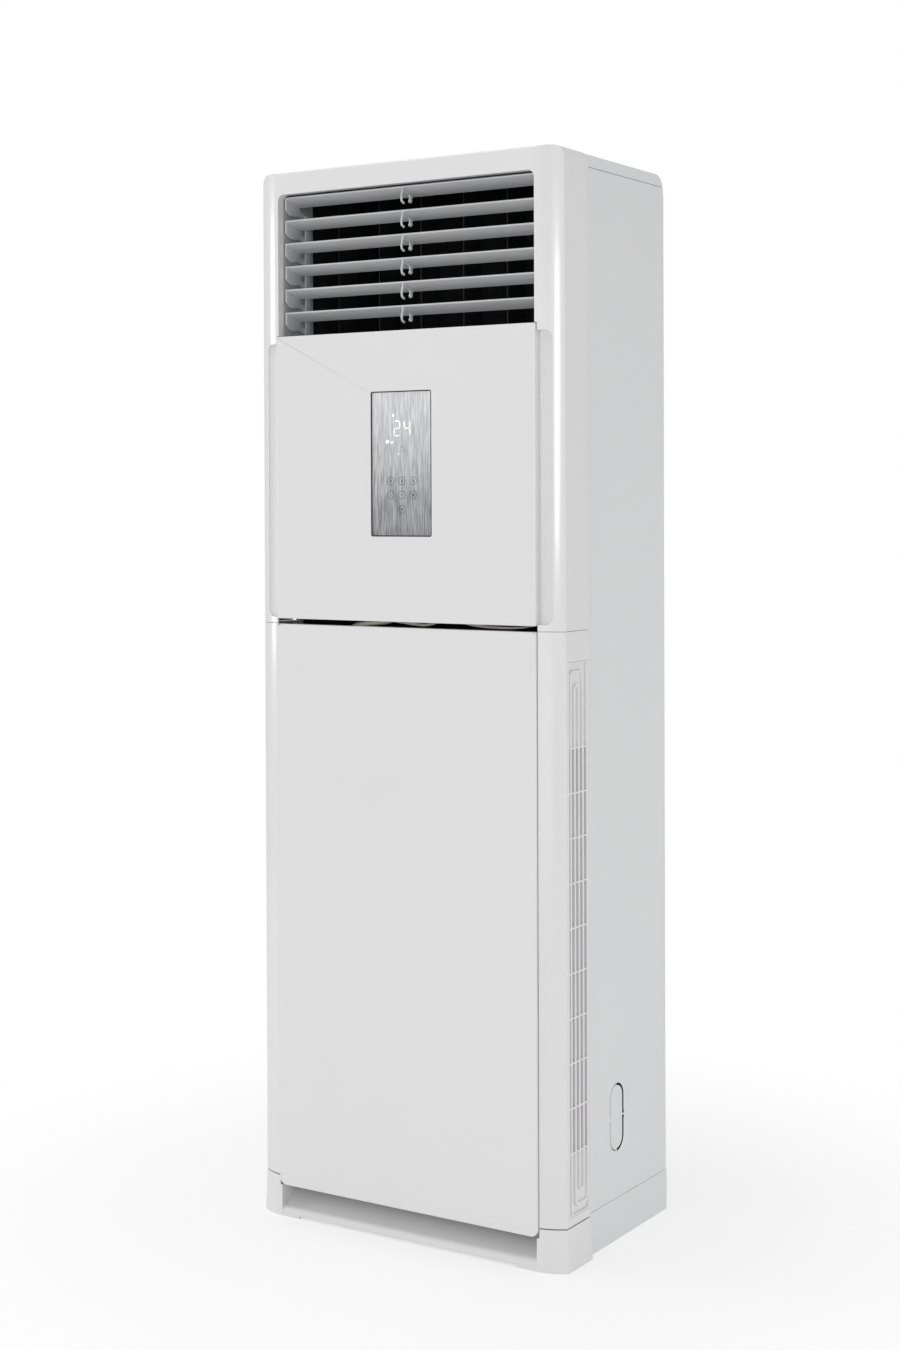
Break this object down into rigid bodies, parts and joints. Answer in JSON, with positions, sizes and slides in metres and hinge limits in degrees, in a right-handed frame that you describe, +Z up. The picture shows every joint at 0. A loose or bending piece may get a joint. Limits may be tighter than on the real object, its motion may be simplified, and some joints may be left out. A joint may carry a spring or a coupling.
{
  "type": "air_conditioner",
  "caption": "White floor standing column air conditioner with a louvered outlet on top, a display panel with finger channels, a swing-out lower door and side intake grilles.",
  "frame": {"origin": "On the floor, under the middle of the bounding box.", "axes": "+Z is up, -Y is the front that faces the room, +X is to the right of someone facing the front."},
  "size_m": [0.624, 0.3982, 1.85],
  "materials": {
    "gloss_white": "moulded, glossy",
    "painted_white": "powder coat, satin",
    "louver_grey": "moulded, satin",
    "liner_grey": "moulded, matt",
    "vane_black": "moulded, matt",
    "foam_black": "expanded foam, dull",
    "silver_plate": "brushed upright",
    "board_green": "solder mask",
    "fin_aluminium": "bare fins",
    "zinc_steel": "zinc coated, dull",
    "copper_pipe": "drawn copper",
    "motor_grey": "dark paint, satin",
    "filter_mesh": "woven net",
    "wheel_white": "moulded, satin",
    "hose_grey": "soft, dull",
    "harness_white": "cable sheath"
  },
  "bodies": {
    "cabinet": {"base_pan": "painted_white", "front_plinth": "gloss_white", "right_side_panel": "painted_white", "left_side_panel": "painted_white", "back_panel": "painted_white", "top_cover": "painted_white", "front_frame": "gloss_white", "right_pillar": "gloss_white", "left_pillar": "gloss_white", "right_intake_grille": "gloss_white", "left_intake_grille": "gloss_white", "right_air_filter": "filter_mesh", "left_air_filter": "filter_mesh", "control_panel": "gloss_white", "display_window": "silver_plate", "display_board": "board_green", "louver_box": "liner_grey", "louver_motor": "zinc_steel", "vane_motor": "zinc_steel", "foam_duct": "foam_black", "fin_pack": "fin_aluminium", "right_coil_end": "zinc_steel", "left_coil_end": "zinc_steel", "coil_cover": "zinc_steel", "drain_tray": "liner_grey", "suction_pipe": "copper_pipe", "liquid_pipe": "copper_pipe", "drain_hose": "hose_grey", "partition": "zinc_steel", "fan_housing": "zinc_steel", "inlet_ring": "zinc_steel", "fan_motor": "motor_grey", "motor_bracket": "zinc_steel", "electrical_box": "zinc_steel", "electrical_box_cover": "zinc_steel", "main_board": "board_green", "display_harness": "harness_white"},
    "door": {"lower_door": "gloss_white"},
    "blower": {"blower_wheel": "wheel_white", "fan_shaft": "zinc_steel"},
    "louver_1": {"louver_1": "louver_grey"},
    "louver_2": {"louver_2": "louver_grey"},
    "louver_3": {"louver_3": "louver_grey"},
    "louver_4": {"louver_4": "louver_grey"},
    "louver_5": {"louver_5": "louver_grey"},
    "louver_6": {"louver_6": "louver_grey"},
    "louver_link": {"louver_link": "louver_grey"},
    "vane_1": {"vane_1": "vane_black"},
    "vane_2": {"vane_2": "vane_black"},
    "vane_3": {"vane_3": "vane_black"},
    "vane_4": {"vane_4": "vane_black"},
    "vane_5": {"vane_5": "vane_black"},
    "vane_6": {"vane_6": "vane_black"},
    "vane_link": {"vane_link": "vane_black"}
  },
  "joints": [
    {"name": "door_swing", "type": "hinge", "parent": "cabinet", "child": "door", "pos_m": [0, -0.18715, 1.04], "axis": [-1, 0, 0], "range_deg": [0, 28]},
    {"name": "louver_1_tilt", "type": "hinge", "parent": "cabinet", "child": "louver_1", "pos_m": [0, -0.1621, 1.78974], "axis": [1, 0, 0], "range_deg": [-12, 44]},
    {"name": "louver_2_tilt", "type": "hinge", "parent": "cabinet", "child": "louver_2", "pos_m": [0, -0.1621, 1.74894], "axis": [1, 0, 0], "range_deg": [-12, 44]},
    {"name": "louver_3_tilt", "type": "hinge", "parent": "cabinet", "child": "louver_3", "pos_m": [0, -0.1621, 1.70814], "axis": [1, 0, 0], "range_deg": [-12, 44]},
    {"name": "louver_4_tilt", "type": "hinge", "parent": "cabinet", "child": "louver_4", "pos_m": [0, -0.1621, 1.66734], "axis": [1, 0, 0], "range_deg": [-12, 44]},
    {"name": "louver_5_tilt", "type": "hinge", "parent": "cabinet", "child": "louver_5", "pos_m": [0, -0.1621, 1.62654], "axis": [1, 0, 0], "range_deg": [-12, 44]},
    {"name": "louver_6_tilt", "type": "hinge", "parent": "cabinet", "child": "louver_6", "pos_m": [0, -0.1621, 1.58574], "axis": [1, 0, 0], "range_deg": [-12, 44]},
    {"name": "louver_link_swing", "type": "hinge", "parent": "louver_1", "child": "louver_link", "pos_m": [-0.254, -0.11906, 1.77658], "axis": [1, 0, 0], "range_deg": [-44, 12]},
    {"name": "vane_1_turn", "type": "hinge", "parent": "cabinet", "child": "vane_1", "pos_m": [-0.2225, -0.04415, 1.69], "axis": [0, 0, 1], "range_deg": [-35, 35]},
    {"name": "vane_2_turn", "type": "hinge", "parent": "cabinet", "child": "vane_2", "pos_m": [-0.1335, -0.04415, 1.69], "axis": [0, 0, 1], "range_deg": [-35, 35]},
    {"name": "vane_3_turn", "type": "hinge", "parent": "cabinet", "child": "vane_3", "pos_m": [-0.0445, -0.04415, 1.69], "axis": [0, 0, 1], "range_deg": [-35, 35]},
    {"name": "vane_4_turn", "type": "hinge", "parent": "cabinet", "child": "vane_4", "pos_m": [0.0445, -0.04415, 1.69], "axis": [0, 0, 1], "range_deg": [-35, 35]},
    {"name": "vane_5_turn", "type": "hinge", "parent": "cabinet", "child": "vane_5", "pos_m": [0.1335, -0.04415, 1.69], "axis": [0, 0, 1], "range_deg": [-35, 35]},
    {"name": "vane_6_turn", "type": "hinge", "parent": "cabinet", "child": "vane_6", "pos_m": [0.2225, -0.04415, 1.69], "axis": [0, 0, 1], "range_deg": [-35, 35]},
    {"name": "vane_link_swing", "type": "hinge", "parent": "vane_1", "child": "vane_link", "pos_m": [-0.2225, -0.01515, 1.56], "axis": [0, 0, 1], "range_deg": [-35, 35]},
    {"name": "blower_spin", "type": "hinge", "parent": "cabinet", "child": "blower", "pos_m": [-0.012, 0.02385, 0.711], "axis": [0, 1, 0], "continuous": true}
  ],
  "couplings": [
    {"joint": "louver_2_tilt", "follows": "louver_1_tilt", "ratio": 1},
    {"joint": "louver_3_tilt", "follows": "louver_1_tilt", "ratio": 1},
    {"joint": "louver_4_tilt", "follows": "louver_1_tilt", "ratio": 1},
    {"joint": "louver_5_tilt", "follows": "louver_1_tilt", "ratio": 1},
    {"joint": "louver_6_tilt", "follows": "louver_1_tilt", "ratio": 1},
    {"joint": "louver_link_swing", "follows": "louver_1_tilt", "ratio": -1},
    {"joint": "vane_2_turn", "follows": "vane_1_turn", "ratio": 1},
    {"joint": "vane_3_turn", "follows": "vane_1_turn", "ratio": 1},
    {"joint": "vane_4_turn", "follows": "vane_1_turn", "ratio": 1},
    {"joint": "vane_5_turn", "follows": "vane_1_turn", "ratio": 1},
    {"joint": "vane_6_turn", "follows": "vane_1_turn", "ratio": 1},
    {"joint": "vane_link_swing", "follows": "vane_1_turn", "ratio": -1}
  ]
}
